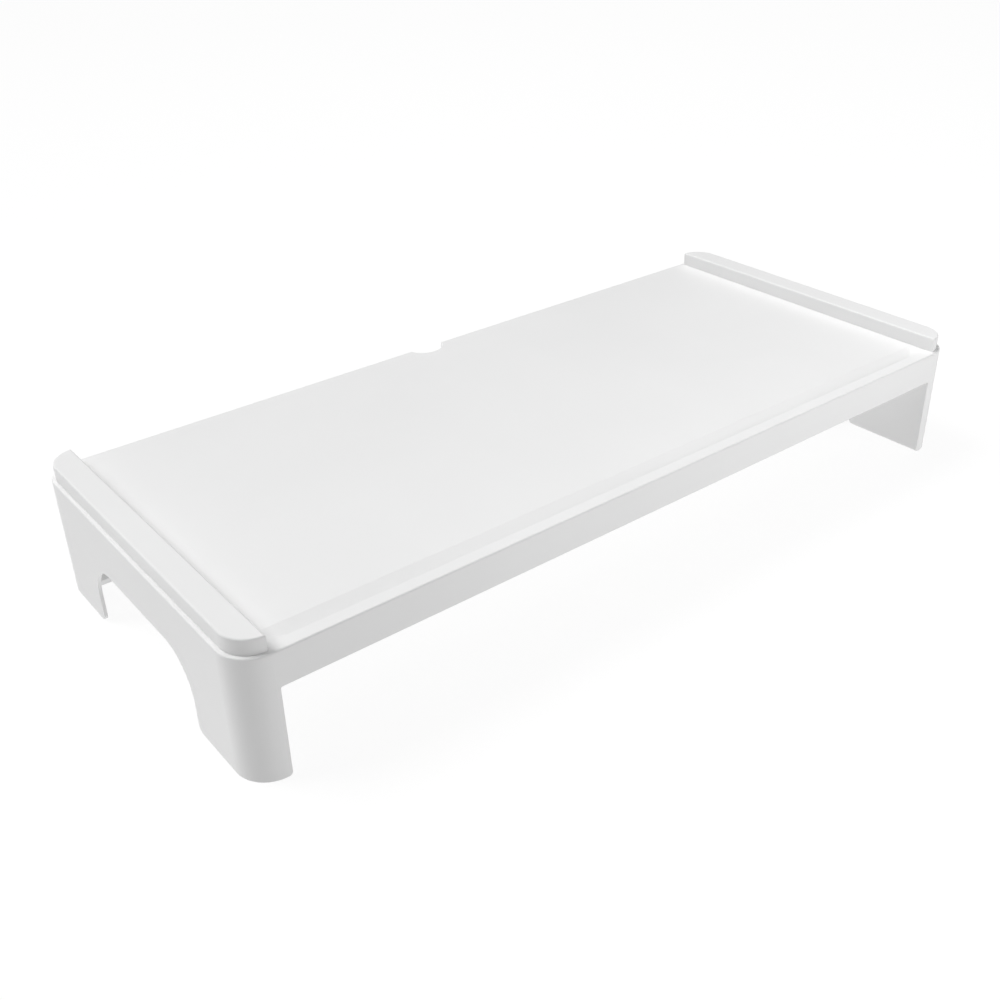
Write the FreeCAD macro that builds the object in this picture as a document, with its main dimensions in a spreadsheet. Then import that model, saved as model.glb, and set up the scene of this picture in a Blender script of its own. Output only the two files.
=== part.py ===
"""Monitor riser stand: a moulded frame on four corner legs, a drop-in deck and two raised end rails.

Millimetres, +Z up, +X along the stand, -Y to its front. The origin is on the desk under the middle of
the stand. The frame's front ledge, the deck and the rails' seats share one level, the ledge height.
"""
import FreeCAD, Part
import os
import re
import Sketcher

SIZES = {
    # alias: (value, what it is)
    "overall_length": (550.0, "frame, outside, along X"),
    "overall_depth": (238.6, "frame, outside, along Y"),
    "ledge_height": (76.1, "desk to the top of the rim and deck"),
    "corner_radius": (19.0, "vertical corners of the frame"),
    "wall": (2.0, "moulded wall of aprons and legs"),
    "rim_thickness": (7.0, "rim, from its top down to the underside of its lip"),
    "rim_edge_round": (1.0, "soft outer edges at the ledge height"),
    "front_rim": (8.2, "ledge in front of the deck"),
    "lip_width": (7.0, "support lip under the deck's front and ends"),
    "rear_lip": (21.0, "support lip under the deck's rear edge, with the wall"),
    "apron_drop": (20.8, "front and rear aprons, below the ledge height"),
    "apron_fillet": (1.0, "where an apron runs into a leg"),
    "leg_return": (21.1, "leg, along X, from the outside corner"),
    "leg_wall": (2.5, "inner wall of a front leg"),
    "leg_foot_round": (2.2, "bottom inner edge of a leg"),
    "leg_depth": (58.5, "leg, along Y, beside the side arch"),
    "arch_height": (44.9, "desk to the top of the side arch"),
    "arch_round": (26.0, "upper corners of the side arch"),
    "arch_foot_round": (4.5, "where the arch meets the feet"),
    "foot_depth": (21.1, "flat foot in a leg's corner, along Y"),
    "foot_thickness": (3.0, "flat foot"),
    "notch_radius": (13.2, "cable notch in the rear edge"),
    "notch_setback": (2.8, "centre of the notch, behind the rear face"),
    "deck_thickness": (4.0, "deck plate"),
    "deck_gap": (0.2, "clearance round the deck"),
    "groove_width": (11.0, "sloped strip along the front of the deck"),
    "groove_depth": (2.4, "how far the strip dips at the front rim"),
    "groove_run": (18.6, "how far each end of the strip takes to rise again"),
    "rib_thickness": (2.0, "stiffening ribs under the deck"),
    "rib_height": (7.0, "stiffening ribs under the deck"),
    "rib_gap": (1.0, "outer ribs to the frame's lip"),
    "rail_width": (16.0, "end rail, along X"),
    "rail_height": (9.5, "end rail, above the ledge"),
    "rail_inset": (2.4, "end rail, in from the frame's outside"),
    "rail_wall": (2.2, "hollow rail, sides and top"),
    "rail_edge_round": (1.0, "top edges of the rail"),
    "boss_diameter": (7.0, "screw bosses inside the rail"),
    "screw_diameter": (2.9, "thread, and its pilot holes"),
    "screw_clearance": (0.4, "hole in the frame, wider than the thread"),
    "screw_head_diameter": (5.6, "pan head"),
    "screw_head_height": (1.9, "pan head"),
    "screw_socket_radius": (1.3, "hexagon socket, centre to corner"),
    "screw_socket_depth": (1.3, "hexagon socket"),
    "screw_tip": (1.2, "tapered end, along the screw"),
    "screw_tip_diameter": (1.0, "tapered end, at its blunt point"),
    "screw_skin": (1.0, "material left above a pilot hole"),
    "deck_screw_margin": (45.0, "outer deck screws, in from the deck's ends"),
    "rail_screw_margin": (34.0, "outer rail screws, in from the frame's faces"),
    "pad_diameter": (13.0, "foot pad"),
    "pad_stand": (0.5, "foot pad, below the foot"),
    "pad_recess": (1.5, "foot pad, let into the foot"),
    "pad_gap": (0.15, "clearance round the foot pad"),
    "pad_from_side": (12.0, "pad centre, in from the frame's side"),
    "pad_from_face": (12.0, "pad centre, in from the frame's front or rear"),
}
CUT_MARGIN = 1.0            # how far a cut reaches past the face it goes through
LEVEL_TOLERANCE = 1e-4      # how near an edge lies to a level to count as in it
DECK_SCREWS_PER_EDGE = 4
RAIL_SCREWS = 3
TRANSVERSE_RIBS = 9
LENGTHWISE_RIBS = 4

# Lengths that several pieces share.
HALF_LENGTH = "overall_length / 2"
HALF_DEPTH = "overall_depth / 2"
SEAT_LEVEL = "(ledge_height - deck_thickness)"
LIP_UNDERSIDE = "(ledge_height - rim_thickness)"
SEAT_FRONT = f"(-{HALF_DEPTH} + front_rim)"
LEG_INSIDE = f"({HALF_LENGTH} - leg_return)"
RAIL_CENTRE = f"({HALF_LENGTH} - rail_inset - rail_width / 2)"
RAIL_INNER_FACE = f"({HALF_LENGTH} - rail_inset - rail_width)"
SEAT_HALF_LENGTH = RAIL_INNER_FACE
WINDOW_HALF_LENGTH = f"({SEAT_HALF_LENGTH} - lip_width)"
WINDOW_FRONT = f"({SEAT_FRONT} + groove_width + lip_width)"
WINDOW_REAR = f"({HALF_DEPTH} - rear_lip)"
RAIL_SCREW_SPAN = f"({HALF_DEPTH} - rail_screw_margin)"
FRONT_SCREW_ROW = f"({WINDOW_FRONT} - lip_width / 2)"
REAR_SCREW_ROW = f"({WINDOW_REAR} + lip_width / 2)"
SCREW_HOLE_RADIUS = "(screw_diameter + screw_clearance) / 2"

doc = FreeCAD.newDocument("MonitorRiser")
sheet = doc.addObject("Spreadsheet::Sheet", "Sizes")
for row, (alias, (value, note)) in enumerate(SIZES.items(), start=1):
    sheet.set(f"A{row}", note)
    sheet.set(f"B{row}", str(value))
    sheet.setAlias(f"B{row}", alias)
doc.recompute()


# ---------------------------------------------------------------- helpers

def formula(text):
    """The same text with every size's name pointing into the sheet."""
    return re.sub(r"[a-z_]+", lambda word: "Sizes." + word[0] if word[0] in SIZES else word[0], text)


def number(text):
    """The formula's value with the sheet as it is now."""
    return float(sheet.evalExpression(formula(text)))


def bind(thing, **formulas):
    """Tie an object's properties to the sheet; a double underscore stands for a dot."""
    for path, text in formulas.items():
        thing.setExpression(path.replace("__", "."), formula(text))


def place(thing, x="0", y="0", z="0"):
    """Tie an object's position to the sheet."""
    bind(thing, Placement__Base__x=x, Placement__Base__y=y, Placement__Base__z=z)


def new_body(label):
    body = doc.addObject("PartDesign::Body", label)
    body.Label = label
    return body


def new_sketch(body, name, plane, offset="0"):
    """A sketch on one of the body's origin planes, moved along the plane's normal."""
    sketch = body.newObject("Sketcher::SketchObject", name)
    support = next(item for item in body.Origin.OriginFeatures if item.Role == plane)
    sketch.AttachmentSupport = [(support, "")]
    sketch.MapMode = "FlatFace"
    bind(sketch, AttachmentOffset__Base__z=offset)
    return sketch


def constrain(sketch, kind, *items, size):
    """A dimension that follows the sheet."""
    index = sketch.addConstraint(Sketcher.Constraint(kind, *items, number(size)))
    sketch.setExpression(f"Constraints[{index}]", formula(size))


def pin(sketch, geometry, position, x, y):
    """Fix a point's two coordinates to formulas."""
    for kind, text in (("DistanceX", x), ("DistanceY", y)):
        if number(text) >= 0:
            constrain(sketch, kind, -1, 1, geometry, position, size=text)
        else:
            constrain(sketch, kind, geometry, position, -1, 1, size=f"-({text})")


def circle(sketch, x, y, radius):
    centre = FreeCAD.Vector(number(x), number(y), 0)
    ring = sketch.addGeometry(Part.Circle(centre, FreeCAD.Vector(0, 0, 1), number(radius)))
    pin(sketch, ring, 3, x, y)
    constrain(sketch, "Radius", ring, size=radius)


def unit_step(start, end):
    """Direction of an axis-aligned step, as whole numbers."""
    return [(gap > 0) - (gap < 0) for gap in (round(end[0] - start[0], 6), round(end[1] - start[1], 6))]


def outline(sketch, corners):
    """A closed outline of level and upright lines; a corner is (x, y) or (x, y, rounding)."""
    points = [(number(corner[0]), number(corner[1])) for corner in corners]
    count = len(points)
    rounds = [corner[2] if len(corner) > 2 else None for corner in corners]
    to_last = [unit_step(points[i], points[i - 1]) for i in range(count)]
    to_next = [unit_step(points[i], points[(i + 1) % count]) for i in range(count)]

    def trimmed(i, step):
        reach = number(rounds[i]) if rounds[i] else 0
        return FreeCAD.Vector(points[i][0] + reach * step[0], points[i][1] + reach * step[1], 0)

    lines = []
    for i in range(count):
        j = (i + 1) % count
        lines.append(sketch.addGeometry(Part.LineSegment(trimmed(i, to_next[i]), trimmed(j, to_last[j]))))

    for i, (x, y, *_) in enumerate(corners):
        if rounds[i] is None:
            sketch.addConstraint(Sketcher.Constraint("Coincident", lines[i - 1], 2, lines[i], 1))
            pin(sketch, lines[i], 1, x, y)
            continue
        shift = [to_last[i][axis] + to_next[i][axis] for axis in (0, 1)]
        radius = number(rounds[i])
        centre = FreeCAD.Vector(points[i][0] + radius * shift[0], points[i][1] + radius * shift[1], 0)
        arrive = trimmed(i, to_last[i]) - centre
        leave = trimmed(i, to_next[i]) - centre
        anticlockwise = arrive.cross(leave).z > 0
        first, second = (arrive, leave) if anticlockwise else (leave, arrive)
        ring = Part.Circle(centre, FreeCAD.Vector(0, 0, 1), radius)
        arc = sketch.addGeometry(Part.ArcOfCircle(ring, ring.parameter(centre + first),
                                                  ring.parameter(centre + second)))
        arrive_end, leave_end = (1, 2) if anticlockwise else (2, 1)
        sketch.addConstraint(Sketcher.Constraint("Tangent", lines[i - 1], 2, arc, arrive_end))
        sketch.addConstraint(Sketcher.Constraint("Tangent", lines[i], 1, arc, leave_end))
        pin(sketch, arc, 3, f"({x}) + {shift[0]} * ({rounds[i]})", f"({y}) + {shift[1]} * ({rounds[i]})")
        constrain(sketch, "Radius", arc, size=rounds[i])


def rectangle(sketch, west, east, south, north, rounding=None):
    corners = [(west, south), (east, south), (east, north), (west, north)]
    outline(sketch, [corner + (rounding,) if rounding else corner for corner in corners])


def pad(body, name, sketch, length):
    """Add material along the sketch's normal."""
    before = body.Shape.Volume if body.Tip else 0
    feature = body.newObject("PartDesign::Pad", name)
    feature.Profile = sketch
    bind(feature, Length=length)
    doc.recompute()
    if body.Shape.Volume <= before:
        raise RuntimeError(f"{body.Label}: {name} added nothing")


def pocket(body, name, sketch, depth):
    """Remove material against the sketch's normal."""
    before = body.Shape.Volume
    feature = body.newObject("PartDesign::Pocket", name)
    feature.Profile = sketch
    bind(feature, Length=depth)
    doc.recompute()
    if body.Shape.Volume >= before:
        raise RuntimeError(f"{body.Label}: {name} cut nothing")


def at_level(low, high, text):
    """Whether both ends of a range are at the formula's value."""
    return max(abs(low - number(text)), abs(high - number(text))) < LEVEL_TOLERANCE


def round_top_edges(body, level, radius, rear=None):
    """Fillet the edges that lie wholly in the level plane; with rear, only those along the rear."""
    base = body.Tip
    names = []
    for index, edge in enumerate(base.Shape.Edges, start=1):
        box = edge.BoundBox
        if at_level(box.ZMin, box.ZMax, level) and (rear is None or at_level(box.YMin, box.YMax, rear)):
            names.append(f"Edge{index}")
    fillet = body.newObject("PartDesign::Fillet", "RoundedTop")
    fillet.Base = (base, names)
    bind(fillet, Radius=radius)
    doc.recompute()


def spread(first, last, count):
    """Formulas for evenly spaced places, ends included."""
    return [f"({first}) + ({last} - ({first})) * {i} / {count - 1}" for i in range(count)]


def opening(half_width, top, top_round, foot_round):
    """Corners of a symmetric opening that stands on the desk and flares softly at its feet."""
    below = f"pad_stand - {CUT_MARGIN}"
    flare = f"({half_width} + 2 * {foot_round})"
    return [
        (f"-{flare}", below),
        (flare, below),
        (flare, "pad_stand"),
        (half_width, "pad_stand", foot_round),
        (half_width, top, top_round),
        (f"-{half_width}", top, top_round),
        (f"-{half_width}", "pad_stand", foot_round),
        (f"-{flare}", "pad_stand"),
    ]


# ---------------------------------------------------------------- what several pieces share

def deck_screw_places():
    reach = f"({SEAT_HALF_LENGTH} - deck_screw_margin)"
    return [(x, y) for y in (FRONT_SCREW_ROW, REAR_SCREW_ROW)
            for x in spread(f"-{reach}", reach, DECK_SCREWS_PER_EDGE)]


def rail_screw_places(side):
    rows = spread(f"-{RAIL_SCREW_SPAN}", RAIL_SCREW_SPAN, RAIL_SCREWS)
    return [(f"{side} * {RAIL_CENTRE}", y) for y in rows]


def pad_centre(side, face):
    """Centre of a foot pad; side is -1 at the left, face is -1 at the front."""
    return f"{side} * ({HALF_LENGTH} - pad_from_side)", f"{face} * ({HALF_DEPTH} - pad_from_face)"


def cut_notch(body, level, depth):
    """Cable notch in the middle of the rear edge, from the level down."""
    notch = new_sketch(body, "NotchOutline", "XY_Plane", level)
    circle(notch, "0", f"{HALF_DEPTH} + notch_setback", "notch_radius")
    pocket(body, "CableNotch", notch, depth)


# ---------------------------------------------------------------- frame

def build_frame():
    """Rim, aprons and corner legs, one moulding."""
    body = new_body("riser_frame")

    block = new_sketch(body, "OutsideOutline", "XY_Plane", "pad_stand")
    rectangle(block, f"-{HALF_LENGTH}", HALF_LENGTH, f"-{HALF_DEPTH}", HALF_DEPTH, "corner_radius")
    pad(body, "Outside", block, "ledge_height - pad_stand")
    round_top_edges(body, "ledge_height", "rim_edge_round")

    inside_x, inside_y = f"({HALF_LENGTH} - wall)", f"({HALF_DEPTH} - wall)"
    cavity = new_sketch(body, "InsideOutline", "XY_Plane", LIP_UNDERSIDE)
    rectangle(cavity, f"-{inside_x}", inside_x, f"-{inside_y}", inside_y, "corner_radius - wall")
    pocket(body, "Inside", cavity, f"{LIP_UNDERSIDE} - pad_stand - foot_thickness")

    foot_edge = f"({HALF_DEPTH} - foot_depth)"
    between_feet = new_sketch(body, "BetweenFeetOutline", "XY_Plane", "pad_stand + foot_thickness")
    rectangle(between_feet, f"-{inside_x}", inside_x, f"-{foot_edge}", foot_edge)
    pocket(body, "BetweenFeet", between_feet, f"foot_thickness + {CUT_MARGIN}")

    leg_walls = new_sketch(body, "FrontLegWallOutlines", "XY_Plane", "pad_stand")
    front, leg_end = f"-{HALF_DEPTH} + wall / 2", f"-{HALF_DEPTH} + leg_depth"
    for inner, outer in ((LEG_INSIDE, f"{LEG_INSIDE} + leg_wall"),
                         (f"-{LEG_INSIDE}", f"-{LEG_INSIDE} - leg_wall")):
        west, east = sorted((inner, outer), key=number)
        rectangle(leg_walls, west, east, front, leg_end)
    pad(body, "FrontLegWalls", leg_walls, f"{LIP_UNDERSIDE} - pad_stand")

    seat = new_sketch(body, "DeckSeatOutline", "XY_Plane", "ledge_height")
    rectangle(seat, f"-{SEAT_HALF_LENGTH}", SEAT_HALF_LENGTH, SEAT_FRONT, f"{HALF_DEPTH} + {CUT_MARGIN}")
    pocket(body, "DeckSeat", seat, "deck_thickness")

    window = new_sketch(body, "WindowOutline", "XY_Plane", SEAT_LEVEL)
    rectangle(window, f"-{WINDOW_HALF_LENGTH}", WINDOW_HALF_LENGTH, WINDOW_FRONT, WINDOW_REAR)
    pocket(body, "Window", window, "rim_thickness - deck_thickness")

    bay = new_sketch(body, "BayOutline", "XZ_Plane", f"{HALF_DEPTH} + {CUT_MARGIN}")
    outline(bay, opening(LEG_INSIDE, "ledge_height - apron_drop", "apron_fillet", "leg_foot_round"))
    pocket(body, "Bay", bay, f"overall_depth + 2 * {CUT_MARGIN}")

    arch = new_sketch(body, "ArchOutline", "YZ_Plane", f"{HALF_LENGTH} + {CUT_MARGIN}")
    half_arch = f"({HALF_DEPTH} - leg_depth)"
    outline(arch, opening(half_arch, "arch_height", "arch_round", "arch_foot_round"))
    pocket(body, "Arches", arch, f"overall_length + 2 * {CUT_MARGIN}")

    cut_notch(body, "ledge_height", f"apron_drop + {CUT_MARGIN}")

    deck_holes = new_sketch(body, "DeckScrewHoleOutlines", "XY_Plane", SEAT_LEVEL)
    for x, y in deck_screw_places():
        circle(deck_holes, x, y, SCREW_HOLE_RADIUS)
    pocket(body, "DeckScrewHoles", deck_holes, f"rim_thickness - deck_thickness + {CUT_MARGIN}")

    rail_holes = new_sketch(body, "RailScrewHoleOutlines", "XY_Plane", "ledge_height")
    for side in (-1, 1):
        for x, y in rail_screw_places(side):
            circle(rail_holes, x, y, SCREW_HOLE_RADIUS)
    pocket(body, "RailScrewHoles", rail_holes, f"rim_thickness + {CUT_MARGIN}")

    recesses = new_sketch(body, "PadRecessOutlines", "XY_Plane", "pad_stand + pad_recess")
    for side in (-1, 1):
        for face in (-1, 1):
            circle(recesses, *pad_centre(side, face), "pad_diameter / 2 + pad_gap")
    pocket(body, "PadRecesses", recesses, "pad_recess")
    return body


# ---------------------------------------------------------------- deck

def build_deck():
    """Flat top plate with a sloped strip at its front and ribs underneath; its own origin is its top."""
    body = new_body("deck_panel")
    place(body, z="ledge_height")
    east = f"({SEAT_HALF_LENGTH} - deck_gap)"
    front = f"({SEAT_FRONT} + deck_gap)"

    plate = new_sketch(body, "PlateOutline", "XY_Plane", "-deck_thickness")
    rectangle(plate, f"-{east}", east, front, HALF_DEPTH)
    pad(body, "Plate", plate, "deck_thickness")
    round_top_edges(body, "0", "rim_edge_round", rear=HALF_DEPTH)
    cut_notch(body, "0", "deck_thickness")

    groove = body.newObject("PartDesign::SubtractiveWedge", "FrontSlope")
    groove.Placement.Rotation = FreeCAD.Rotation(FreeCAD.Vector(1, 0, 0), -90)
    bind(groove,
         Xmin=f"-{RAIL_INNER_FACE}", Xmax=RAIL_INNER_FACE,
         X2min=f"-{RAIL_INNER_FACE} + groove_run", X2max=f"{RAIL_INNER_FACE} - groove_run",
         Zmin=SEAT_FRONT, Zmax=f"{SEAT_FRONT} + groove_width",
         Z2min=SEAT_FRONT, Z2max=SEAT_FRONT,
         Ymin="0", Ymax="groove_depth")
    before = body.Shape.Volume
    doc.recompute()
    if body.Shape.Volume >= before:
        raise RuntimeError("deck_panel: FrontSlope cut nothing")

    rib_east = f"({WINDOW_HALF_LENGTH} - rib_gap - rib_thickness / 2)"
    rib_front = f"({WINDOW_FRONT} + rib_gap + rib_thickness / 2)"
    rib_rear = f"({WINDOW_REAR} - rib_gap - rib_thickness / 2)"
    rib_level = "-deck_thickness - rib_height"
    half_rib = "rib_thickness / 2"
    across = new_sketch(body, "TransverseRibOutlines", "XY_Plane", rib_level)
    for x in spread(f"-{rib_east}", rib_east, TRANSVERSE_RIBS):
        rectangle(across, f"{x} - {half_rib}", f"{x} + {half_rib}", rib_front, rib_rear)
    pad(body, "TransverseRibs", across, "rib_height")
    along = new_sketch(body, "LengthwiseRibOutlines", "XY_Plane", rib_level)
    for y in spread(rib_front, rib_rear, LENGTHWISE_RIBS):
        rectangle(along, f"-{rib_east} - {half_rib}", f"{rib_east} + {half_rib}",
                  f"{y} - {half_rib}", f"{y} + {half_rib}")
    pad(body, "LengthwiseRibs", along, "rib_height")

    pilots = new_sketch(body, "PilotHoleOutlines", "XY_Plane", "-screw_skin")
    for x, y in deck_screw_places():
        circle(pilots, x, y, "screw_diameter / 2")
    pocket(body, "PilotHoles", pilots, "deck_thickness - screw_skin")
    return body


# ---------------------------------------------------------------- rails

def build_rail(label, side):
    """Hollow raised rail along one end; side is -1 at the left. Its own origin is on its seat."""
    body = new_body(label)
    place(body, z="ledge_height")
    half_length = f"({HALF_LENGTH} - rail_inset)"
    half_depth = f"({HALF_DEPTH} - rail_inset)"

    block = new_sketch(body, "FullOutline", "XY_Plane")
    rectangle(block, f"-{half_length}", half_length, f"-{half_depth}", half_depth,
              "corner_radius - rail_inset")
    pad(body, "FullBlock", block, "rail_height")

    rest = new_sketch(body, "RestOutline", "XY_Plane", f"rail_height + {CUT_MARGIN}")
    edges = [f"{side} * {RAIL_INNER_FACE}", f"-{side} * ({HALF_LENGTH} + {CUT_MARGIN})"]
    west, east = sorted(edges, key=number)
    rectangle(rest, west, east, f"-{HALF_DEPTH} - {CUT_MARGIN}", f"{HALF_DEPTH} + {CUT_MARGIN}")
    pocket(body, "KeepOneEnd", rest, f"rail_height + 2 * {CUT_MARGIN}")
    round_top_edges(body, "rail_height", "rail_edge_round")

    hollow = new_sketch(body, "HollowOutline", "XY_Plane", "rail_height - rail_wall")
    edges = [f"{side} * ({RAIL_INNER_FACE} + rail_wall)", f"{side} * ({half_length} - rail_wall)"]
    west, east = sorted(edges, key=number)
    hollow_reach = f"({HALF_DEPTH} - corner_radius)"
    rectangle(hollow, west, east, f"-{hollow_reach}", hollow_reach)
    pocket(body, "Hollow", hollow, "rail_height - rail_wall")

    bosses = new_sketch(body, "BossOutlines", "XY_Plane")
    for x, y in rail_screw_places(side):
        circle(bosses, x, y, "boss_diameter / 2")
    pad(body, "Bosses", bosses, "rail_height - rail_wall")

    pilots = new_sketch(body, "PilotHoleOutlines", "XY_Plane", "rail_height - rail_wall")
    for x, y in rail_screw_places(side):
        circle(pilots, x, y, "screw_diameter / 2")
    pocket(body, "PilotHoles", pilots, "rail_height - rail_wall")
    return body


# ---------------------------------------------------------------- foot pads

def build_pad(label, side, face):
    """Anti-slip pad let into the bottom of one leg; its own origin is the middle of its underside."""
    body = new_body(label)
    x, y = pad_centre(side, face)
    place(body, x, y)
    disc = new_sketch(body, "DiscOutline", "XY_Plane")
    circle(disc, "0", "0", "pad_diameter / 2")
    pad(body, "Disc", disc, "pad_stand + pad_recess")
    return body


# ---------------------------------------------------------------- screws

def build_screw(name, x, y, length):
    """One pan-head screw, head down, its head against the underside of the rim's lip."""
    shank = doc.addObject("Part::Cylinder", f"{name}_shank")
    bind(shank, Radius="screw_diameter / 2", Height=f"{length} - screw_tip")
    place(shank, x, y, LIP_UNDERSIDE)
    tip = doc.addObject("Part::Cone", f"{name}_tip")
    bind(tip, Radius1="screw_diameter / 2", Radius2="screw_tip_diameter / 2", Height="screw_tip")
    place(tip, x, y, f"{LIP_UNDERSIDE} + {length} - screw_tip")
    head = doc.addObject("Part::Cylinder", f"{name}_head")
    bind(head, Radius="screw_head_diameter / 2", Height="screw_head_height")
    place(head, x, y, f"{LIP_UNDERSIDE} - screw_head_height")
    socket = doc.addObject("Part::Prism", f"{name}_socket")
    socket.Polygon = 6
    bind(socket, Circumradius="screw_socket_radius", Height="screw_socket_depth")
    place(socket, x, y, f"{LIP_UNDERSIDE} - screw_head_height")
    pointed = doc.addObject("Part::Fuse", f"{name}_pointed")
    pointed.Base, pointed.Tool = shank, tip
    solid = doc.addObject("Part::Fuse", f"{name}_solid")
    solid.Base, solid.Tool = pointed, head
    screw = doc.addObject("Part::Cut", name)
    screw.Base, screw.Tool = solid, socket
    return screw


def build_screws(label, places, length):
    group = doc.addObject("Part::Compound", label)
    group.Label = label
    group.Links = [build_screw(f"{label}_{i}", x, y, length) for i, (x, y) in enumerate(places, start=1)]
    return group


# ---------------------------------------------------------------- the stand

nodes = [build_frame(), build_deck()]
nodes.append(build_rail("left_end_rail", -1))
nodes.append(build_rail("right_end_rail", 1))
for face_name, face in (("front", -1), ("rear", 1)):
    for side_name, side in (("left", -1), ("right", 1)):
        nodes.append(build_pad(f"{face_name}_{side_name}_pad", side, face))
nodes.append(build_screws("deck_screws", deck_screw_places(), "(rim_thickness - screw_skin)"))
nodes.append(build_screws("rail_screws", rail_screw_places(-1) + rail_screw_places(1),
                          "(rim_thickness + rail_height - rail_wall)"))
doc.recompute()

for item in doc.Objects:
    if {"Invalid", "Error"} & set(item.State):
        raise RuntimeError(f"{item.Label} failed: {item.State}")
for node in nodes:
    if node.Shape.isNull() or not node.Shape.isValid():
        raise RuntimeError(f"{node.Label} has no valid shape")

os.makedirs("parts", exist_ok=True)
for node in nodes:
    node.Shape.exportStep(f"parts/{node.Label}.step")
    print(f"{node.Label}: {len(node.Shape.Solids)} solid(s), {node.Shape.Volume / 1000:.1f} cm3")
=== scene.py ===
"""Looks of the monitor riser stand: moulded white plastic, rubber foot pads and zinc-plated screws.

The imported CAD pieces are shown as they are, each with its own procedural material. Metres, +Z up, -Y front.
"""
import math

import bpy
from mathutils import Matrix, Vector

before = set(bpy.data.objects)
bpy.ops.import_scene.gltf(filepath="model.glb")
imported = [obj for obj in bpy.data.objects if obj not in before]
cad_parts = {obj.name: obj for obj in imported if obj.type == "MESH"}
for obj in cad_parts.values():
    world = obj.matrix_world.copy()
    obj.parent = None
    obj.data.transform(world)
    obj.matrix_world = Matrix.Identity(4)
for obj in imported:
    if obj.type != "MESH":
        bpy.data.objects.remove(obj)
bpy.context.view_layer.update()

# Camera: where it stands, which way it looks and how long its lens is.
CAMERA_PLACE = Vector((-0.4383, -0.5273, 0.4143))
CAMERA_HEADING = math.radians(52.217)      # from +X towards +Y
CAMERA_TILT = math.radians(30.840)         # below the horizon
CAMERA_ROLL = math.radians(1.321)
SENSOR = 36.0
FOCAL_LENGTH = 1.19587 * SENSOR
NEAREST_SEEN = 0.01                        # nothing nearer than this is drawn

# Studio: a backlit white floor, soft lights from far behind, two soft panels and a white backdrop.
FLOOR_SIZE = 12.0
FLOOR_GREY = 0.12
FLOOR_GLOW = 0.895
FAR_LIGHT_SPREAD = math.radians(35.0)
FAR_LIGHTS = {
    # name: (direction it comes from, from +X towards +Y; height above the horizon; strength)
    "far_rear_low": (90, 20, 0.55),
    "far_rear_high": (90, 50, 0.21),
    "far_rear_left_high": (135, 50, 2.04),
}
PANELS = {
    # name: (place, point it faces, width and height, power)
    "front_panel": ((0.25, -0.65, 0.30), (0.20, -0.12, 0.05), (0.50, 0.35), 1.84),
    "overhead_panel": ((0.0, 0.1, 1.7), (0.0, 0.0, 0.0), (2.2, 2.2), 14.6),
}

# Materials: the part of a noise's range that is stretched over the whole range, and the refractive index.
NOISE_LOW, NOISE_HIGH = 0.3, 0.7
REFRACTION = 1.46


# ---------------------------------------------------------------- materials

def grey(value):
    return (value, value, value, 1.0)


def new_material(name):
    material = bpy.data.materials.new(name)
    material.use_nodes = True
    tree = material.node_tree
    shader = tree.nodes["Principled BSDF"]
    return material, tree, shader


def add_node(tree, kind, **inputs):
    node = tree.nodes.new(kind)
    for name, value in inputs.items():
        node.inputs[name.replace("_", " ")].default_value = value
    return node


def noise(tree, place, size, detail, roughness):
    """Smooth noise whose features are about the given size."""
    node = add_node(tree, "ShaderNodeTexNoise", Scale=1.0 / size, Detail=detail, Roughness=roughness)
    tree.links.new(place, node.inputs["Vector"])
    return node.outputs["Fac"]


def stretch(tree, value, low, high):
    """A noise's middle values, stretched to run from low to high."""
    node = tree.nodes.new("ShaderNodeMapRange")
    limits = {"From Min": NOISE_LOW, "From Max": NOISE_HIGH, "To Min": low, "To Max": high}
    for name, number in limits.items():
        node.inputs[name].default_value = number
    tree.links.new(value, node.inputs["Value"])
    return node.outputs["Result"]


def grained(name, dark, light, patch_size, grain_size, grain_height, roughness, metallic):
    """A surface with soft patches of tint, and a grain that changes both its sheen and its relief."""
    material, tree, shader = new_material(name)
    place = tree.nodes.new("ShaderNodeTexCoord").outputs["Object"]

    patches = noise(tree, place, patch_size, detail=3.0, roughness=0.45)
    tint = tree.nodes.new("ShaderNodeMix")
    tint.data_type = "RGBA"
    tint.inputs["A"].default_value = grey(dark)
    tint.inputs["B"].default_value = grey(light)
    tree.links.new(stretch(tree, patches, 0.0, 1.0), tint.inputs["Factor"])
    tree.links.new(tint.outputs["Result"], shader.inputs["Base Color"])

    grain = noise(tree, place, grain_size, detail=2.0, roughness=0.55)
    tree.links.new(stretch(tree, grain, *roughness), shader.inputs["Roughness"])

    bump = add_node(tree, "ShaderNodeBump", Strength=1.0, Distance=grain_height)
    tree.links.new(grain, bump.inputs["Height"])
    tree.links.new(bump.outputs["Normal"], shader.inputs["Normal"])
    shader.inputs["IOR"].default_value = REFRACTION
    shader.inputs["Metallic"].default_value = metallic
    return material


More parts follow.
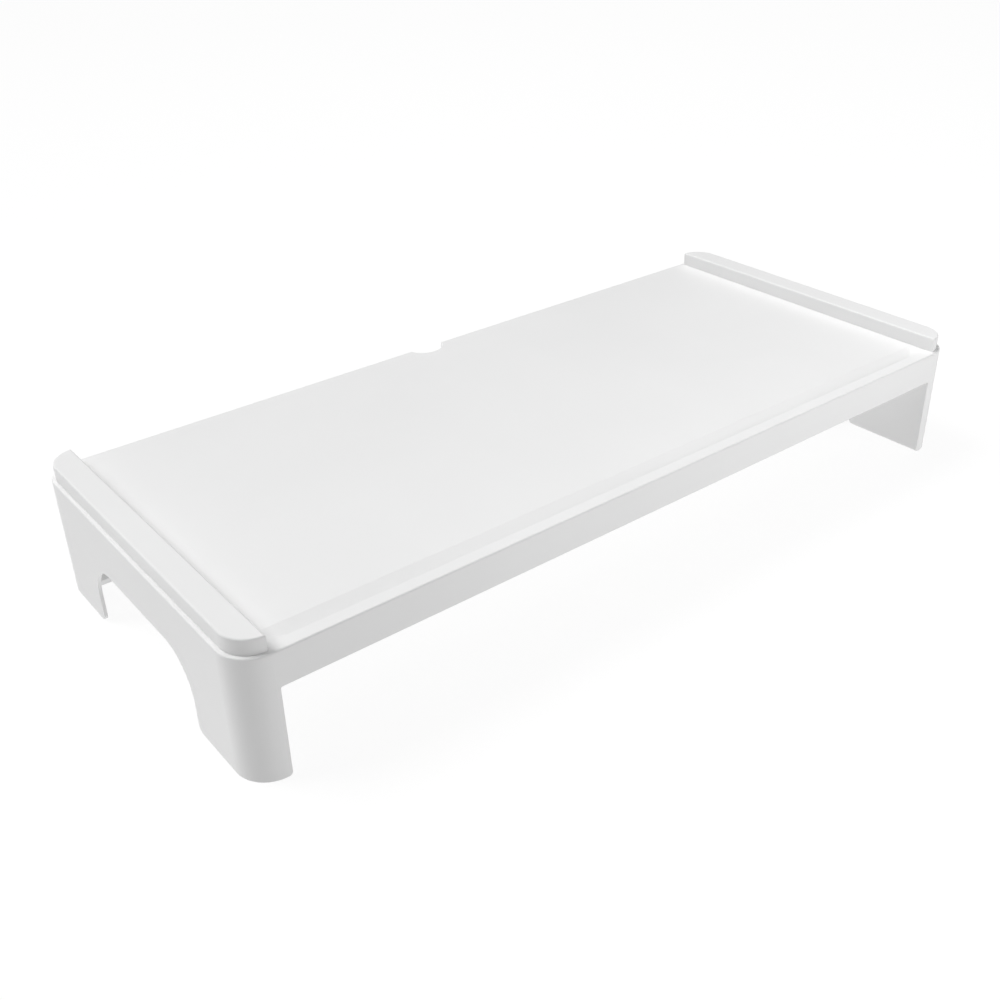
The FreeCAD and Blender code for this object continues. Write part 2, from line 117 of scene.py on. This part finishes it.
SURFACES = {
    # kind: (material, darkest and lightest grey, patch size, grain size and height, roughness, metallic)
    "frame": ("frame_plastic", 0.812, 0.828, 0.07, 0.0006, 0.00003, (0.50, 0.62), 0.0),
    "deck": ("deck_plastic", 0.812, 0.828, 0.09, 0.0008, 0.00004, (0.50, 0.62), 0.0),
    "rail": ("rail_plastic", 0.812, 0.828, 0.05, 0.0006, 0.00003, (0.50, 0.62), 0.0),
    "pad": ("pad_rubber", 0.085, 0.105, 0.004, 0.0004, 0.00005, (0.75, 0.90), 0.0),
    "screw": ("screw_steel", 0.46, 0.60, 0.002, 0.0002, 0.00001, (0.28, 0.42), 1.0),
}
MATERIALS = {kind: grained(*surface) for kind, surface in SURFACES.items()}
NODE_KINDS = {
    "riser_frame": "frame",
    "deck_panel": "deck",
    "left_end_rail": "rail",
    "right_end_rail": "rail",
    "front_left_pad": "pad",
    "front_right_pad": "pad",
    "rear_left_pad": "pad",
    "rear_right_pad": "pad",
    "deck_screws": "screw",
    "rail_screws": "screw",
}
for node, kind in NODE_KINDS.items():
    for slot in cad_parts[node].material_slots:
        slot.material = MATERIALS[kind]


# ---------------------------------------------------------------- studio

def build_floor():
    half = FLOOR_SIZE / 2
    mesh = bpy.data.meshes.new("studio_floor")
    corners = [(-half, -half, 0), (half, -half, 0), (half, half, 0), (-half, half, 0)]
    mesh.from_pydata(corners, [], [(0, 1, 2, 3)])
    floor = bpy.data.objects.new("studio_floor", mesh)
    bpy.context.scene.collection.objects.link(floor)
    material, tree, shader = new_material("floor_paper")
    shader.inputs["Base Color"].default_value = grey(FLOOR_GREY)
    shader.inputs["Roughness"].default_value = 1.0
    shader.inputs["Specular IOR Level"].default_value = 0.0
    shader.inputs["Emission Color"].default_value = grey(1.0)
    shader.inputs["Emission Strength"].default_value = FLOOR_GLOW
    mesh.materials.append(material)


def build_backdrop():
    """White behind everything, seen but giving no light."""
    world = bpy.data.worlds.new("backdrop")
    world.use_nodes = True
    tree = world.node_tree
    background = tree.nodes["Background"]
    background.inputs["Color"].default_value = grey(1.0)
    seen = tree.nodes.new("ShaderNodeLightPath").outputs["Is Camera Ray"]
    tree.links.new(seen, background.inputs["Strength"])
    bpy.context.scene.world = world


def add_light(name, kind, energy, place, ahead):
    """A white light at a place, shining along a direction."""
    data = bpy.data.lights.new(name, kind)
    data.energy = energy
    light = bpy.data.objects.new(name, data)
    bpy.context.scene.collection.objects.link(light)
    light.location = place
    light.rotation_euler = ahead.to_track_quat("-Z", "Y").to_euler()
    return data


def build_lights():
    for name, (azimuth, height, strength) in FAR_LIGHTS.items():
        turn, lift = math.radians(azimuth), math.radians(height)
        source = Vector((math.cos(turn) * math.cos(lift), math.sin(turn) * math.cos(lift), math.sin(lift)))
        add_light(name, "SUN", strength, source, -source).angle = FAR_LIGHT_SPREAD
    for name, (place, target, size, power) in PANELS.items():
        panel = add_light(name, "AREA", power, place, Vector(target) - Vector(place))
        panel.shape = "RECTANGLE"
        panel.size, panel.size_y = size


def build_camera():
    ahead = Vector((math.cos(CAMERA_HEADING) * math.cos(CAMERA_TILT),
                    math.sin(CAMERA_HEADING) * math.cos(CAMERA_TILT),
                    -math.sin(CAMERA_TILT)))
    level_right = Vector((math.sin(CAMERA_HEADING), -math.cos(CAMERA_HEADING), 0.0))
    level_down = ahead.cross(level_right)
    right = math.cos(CAMERA_ROLL) * level_right + math.sin(CAMERA_ROLL) * level_down
    up = math.sin(CAMERA_ROLL) * level_right - math.cos(CAMERA_ROLL) * level_down
    data = bpy.data.cameras.new("camera")
    data.sensor_width = SENSOR
    data.lens = FOCAL_LENGTH
    data.clip_start = NEAREST_SEEN
    camera = bpy.data.objects.new("camera", data)
    bpy.context.scene.collection.objects.link(camera)
    turn = Matrix((right, up, -ahead)).transposed()
    camera.matrix_world = Matrix.Translation(CAMERA_PLACE) @ turn.to_4x4()
    bpy.context.scene.camera = camera


build_floor()
build_backdrop()
build_lights()
build_camera()
bpy.context.scene.view_settings.view_transform = "Standard"
